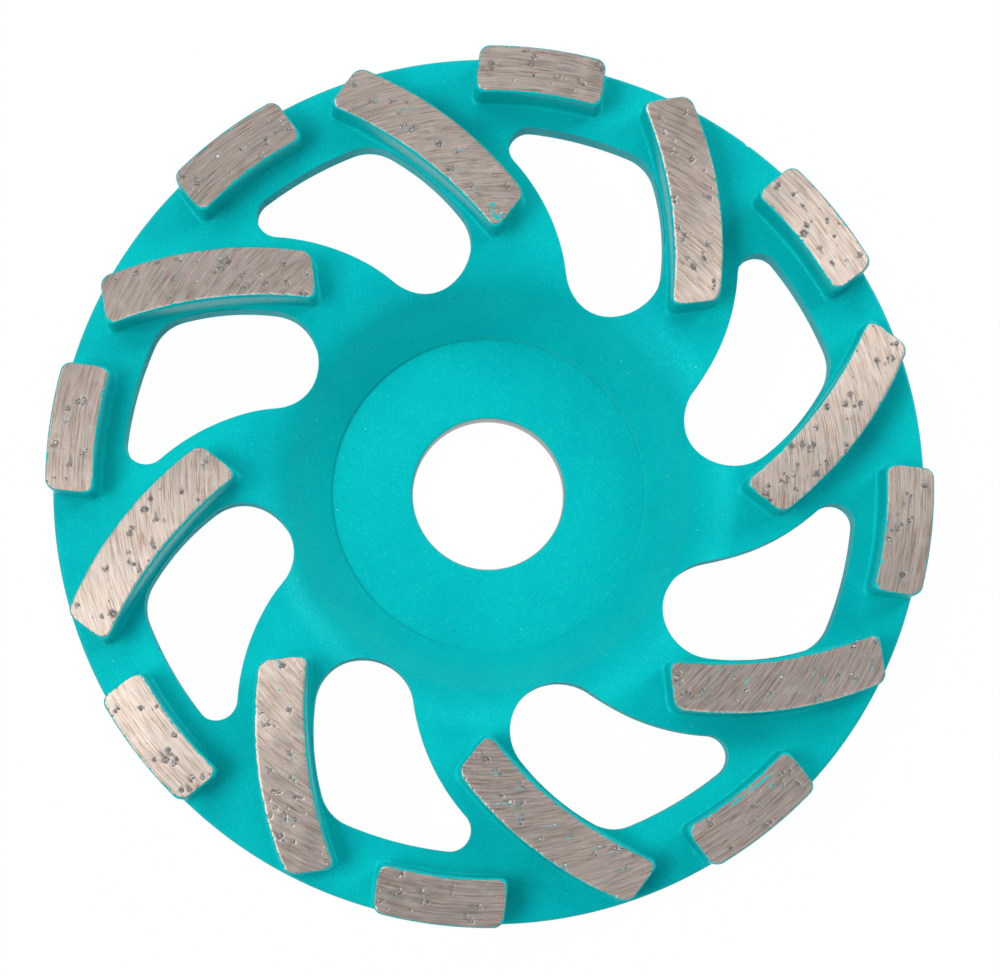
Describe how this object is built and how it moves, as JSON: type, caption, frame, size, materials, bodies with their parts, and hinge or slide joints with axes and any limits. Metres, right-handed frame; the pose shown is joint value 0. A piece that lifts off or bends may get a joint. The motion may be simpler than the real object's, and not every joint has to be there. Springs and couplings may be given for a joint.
{
  "type": "diamond cup wheel",
  "caption": "Dished steel grinding wheel with a plain bore, kidney windows and swirled diamond segments on its rim, painted turquoise.",
  "frame": {"origin": "wheel axis at the back face of the hub", "axes": "+Z along the wheel axis, towards the working face; +X and +Y across the wheel"},
  "size_m": [0.125, 0.125, 0.0228],
  "materials": {
    "steel_body": "turquoise powder coat, fine grained",
    "diamond_bond": "bronze bond, ground across the top"
  },
  "bodies": {
    "root": {"cup_body": "steel_body", "long_segment_1": "diamond_bond", "long_segment_2": "diamond_bond", "long_segment_3": "diamond_bond", "long_segment_4": "diamond_bond", "long_segment_5": "diamond_bond", "long_segment_6": "diamond_bond", "long_segment_7": "diamond_bond", "long_segment_8": "diamond_bond", "short_segment_1": "diamond_bond", "short_segment_2": "diamond_bond", "short_segment_3": "diamond_bond", "short_segment_4": "diamond_bond", "short_segment_5": "diamond_bond", "short_segment_6": "diamond_bond", "short_segment_7": "diamond_bond", "short_segment_8": "diamond_bond"}
  },
  "joints": []
}
